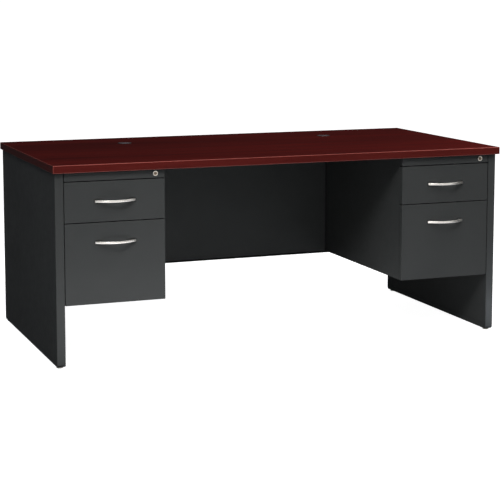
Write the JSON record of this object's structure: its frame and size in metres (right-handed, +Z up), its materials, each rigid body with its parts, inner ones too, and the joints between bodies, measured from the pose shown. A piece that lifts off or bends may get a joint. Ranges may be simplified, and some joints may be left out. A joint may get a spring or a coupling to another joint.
{
  "type": "teacher desk",
  "caption": "Double-pedestal steel teacher desk with a laminate top, a box drawer and a file drawer in each locking pedestal, and a recessed modesty panel.",
  "frame": {"origin": "on the floor, at the centre of the footprint of the whole desk with its pulls", "axes": "+Z up, the drawers open towards -Y, +X to the sitting user's right"},
  "size_m": [1.8288, 0.9284, 0.7508],
  "materials": {
    "board": "raw chipboard",
    "mahogany_laminate": "satin",
    "backer_sheet": "matt",
    "mahogany_edge": "satin",
    "black_plastic": "fine texture",
    "charcoal_steel": "fine-textured satin powder coat",
    "tray_steel": "satin powder coat",
    "primer_steel": "matt primer",
    "satin_nickel": "satin",
    "polished_nickel": "polished",
    "zinc_steel": "bright zinc"
  },
  "bodies": {
    "desk": {"worksurface_core": "board", "worksurface_laminate": "mahogany_laminate", "worksurface_backer": "backer_sheet", "edge_bands": "mahogany_edge", "grommet_sleeves": "black_plastic", "left_end_panel": "charcoal_steel", "right_end_panel": "charcoal_steel", "end_panel_liners": "charcoal_steel", "end_panel_stiffeners": "primer_steel", "glide_nuts": "zinc_steel", "modesty_panel": "charcoal_steel", "modesty_liner": "charcoal_steel", "top_stiffeners": "primer_steel", "top_screws": "zinc_steel", "assembly_bolts": "zinc_steel", "left_pedestal_case": "charcoal_steel", "right_pedestal_case": "charcoal_steel", "lock_rails": "charcoal_steel", "lock_housings": "polished_nickel", "cabinet_slides": "zinc_steel"},
    "left_cap": {"left_grommet_cap": "black_plastic"},
    "left_front_leveller": {"left_front_glide": "polished_nickel"},
    "left_rear_leveller": {"left_rear_glide": "polished_nickel"},
    "left_box_drawer": {"left_box_front": "charcoal_steel", "left_box_tray": "tray_steel", "left_box_pull": "satin_nickel", "left_box_pull_screws": "zinc_steel", "left_box_slides": "zinc_steel", "left_pencil_tray": "black_plastic"},
    "left_box_carrier": {"left_box_carriers": "zinc_steel"},
    "left_file_drawer": {"left_file_front": "charcoal_steel", "left_file_tray": "tray_steel", "left_file_pull": "satin_nickel", "left_file_pull_screws": "zinc_steel", "left_file_slides": "zinc_steel", "left_file_rails": "zinc_steel"},
    "left_file_carrier": {"left_file_carriers": "zinc_steel"},
    "left_lock": {"left_lock_plug": "polished_nickel", "left_lock_rod": "zinc_steel"},
    "left_locking_bar": {"left_lock_bar": "zinc_steel"},
    "right_cap": {"right_grommet_cap": "black_plastic"},
    "right_front_leveller": {"right_front_glide": "polished_nickel"},
    "right_rear_leveller": {"right_rear_glide": "polished_nickel"},
    "right_box_drawer": {"right_box_front": "charcoal_steel", "right_box_tray": "tray_steel", "right_box_pull": "satin_nickel", "right_box_pull_screws": "zinc_steel", "right_box_slides": "zinc_steel", "right_pencil_tray": "black_plastic"},
    "right_box_carrier": {"right_box_carriers": "zinc_steel"},
    "right_file_drawer": {"right_file_front": "charcoal_steel", "right_file_tray": "tray_steel", "right_file_pull": "satin_nickel", "right_file_pull_screws": "zinc_steel", "right_file_slides": "zinc_steel", "right_file_rails": "zinc_steel"},
    "right_file_carrier": {"right_file_carriers": "zinc_steel"},
    "right_lock": {"right_lock_plug": "polished_nickel", "right_lock_rod": "zinc_steel"},
    "right_locking_bar": {"right_lock_bar": "zinc_steel"}
  },
  "joints": [
    {"name": "left_cap_turn", "type": "hinge", "parent": "desk", "child": "left_cap", "pos_m": [-0.445, 0.2362, 0.7493], "axis": [0, 0, 1], "continuous": true},
    {"name": "left_front_glide_screw", "type": "slide", "parent": "desk", "child": "left_front_leveller", "axis": [0, 0, -1], "range_m": [0, 0.015]},
    {"name": "left_rear_glide_screw", "type": "slide", "parent": "desk", "child": "left_rear_leveller", "axis": [0, 0, -1], "range_m": [0, 0.015]},
    {"name": "left_box_drawer_open", "type": "slide", "parent": "desk", "child": "left_box_drawer", "axis": [0, -1, 0], "range_m": [0, 0.5]},
    {"name": "left_box_carrier_run", "type": "slide", "parent": "desk", "child": "left_box_carrier", "axis": [0, -1, 0], "range_m": [0, 0.25]},
    {"name": "left_file_drawer_open", "type": "slide", "parent": "desk", "child": "left_file_drawer", "axis": [0, -1, 0], "range_m": [0, 0.64]},
    {"name": "left_file_carrier_run", "type": "slide", "parent": "desk", "child": "left_file_carrier", "axis": [0, -1, 0], "range_m": [0, 0.32]},
    {"name": "left_locking_bar_lift", "type": "slide", "parent": "desk", "child": "left_locking_bar", "axis": [0, 0, 1], "range_m": [0, 0.01202]},
    {"name": "left_key_turn", "type": "hinge", "parent": "desk", "child": "left_lock", "pos_m": [-0.52515, -0.4322, 0.70435], "axis": [0, -1, 0], "range_deg": [0, 90]},
    {"name": "right_cap_turn", "type": "hinge", "parent": "desk", "child": "right_cap", "pos_m": [0.445, 0.2362, 0.7493], "axis": [0, 0, 1], "continuous": true},
    {"name": "right_front_glide_screw", "type": "slide", "parent": "desk", "child": "right_front_leveller", "axis": [0, 0, -1], "range_m": [0, 0.015]},
    {"name": "right_rear_glide_screw", "type": "slide", "parent": "desk", "child": "right_rear_leveller", "axis": [0, 0, -1], "range_m": [0, 0.015]},
    {"name": "right_box_drawer_open", "type": "slide", "parent": "desk", "child": "right_box_drawer", "axis": [0, -1, 0], "range_m": [0, 0.5]},
    {"name": "right_box_carrier_run", "type": "slide", "parent": "desk", "child": "right_box_carrier", "axis": [0, -1, 0], "range_m": [0, 0.25]},
    {"name": "right_file_drawer_open", "type": "slide", "parent": "desk", "child": "right_file_drawer", "axis": [0, -1, 0], "range_m": [0, 0.64]},
    {"name": "right_file_carrier_run", "type": "slide", "parent": "desk", "child": "right_file_carrier", "axis": [0, -1, 0], "range_m": [0, 0.32]},
    {"name": "right_locking_bar_lift", "type": "slide", "parent": "desk", "child": "right_locking_bar", "axis": [0, 0, 1], "range_m": [0, 0.01202]},
    {"name": "right_key_turn", "type": "hinge", "parent": "desk", "child": "right_lock", "pos_m": [0.83415, -0.4322, 0.70435], "axis": [0, -1, 0], "range_deg": [0, 90]}
  ],
  "couplings": [
    {"joint": "left_box_carrier_run", "follows": "left_box_drawer_open", "ratio": 0.5},
    {"joint": "left_file_carrier_run", "follows": "left_file_drawer_open", "ratio": 0.5},
    {"joint": "left_key_turn", "follows": "left_locking_bar_lift", "rad_per_m": 130.67},
    {"joint": "right_box_carrier_run", "follows": "right_box_drawer_open", "ratio": 0.5},
    {"joint": "right_file_carrier_run", "follows": "right_file_drawer_open", "ratio": 0.5},
    {"joint": "right_key_turn", "follows": "right_locking_bar_lift", "rad_per_m": 130.67}
  ]
}
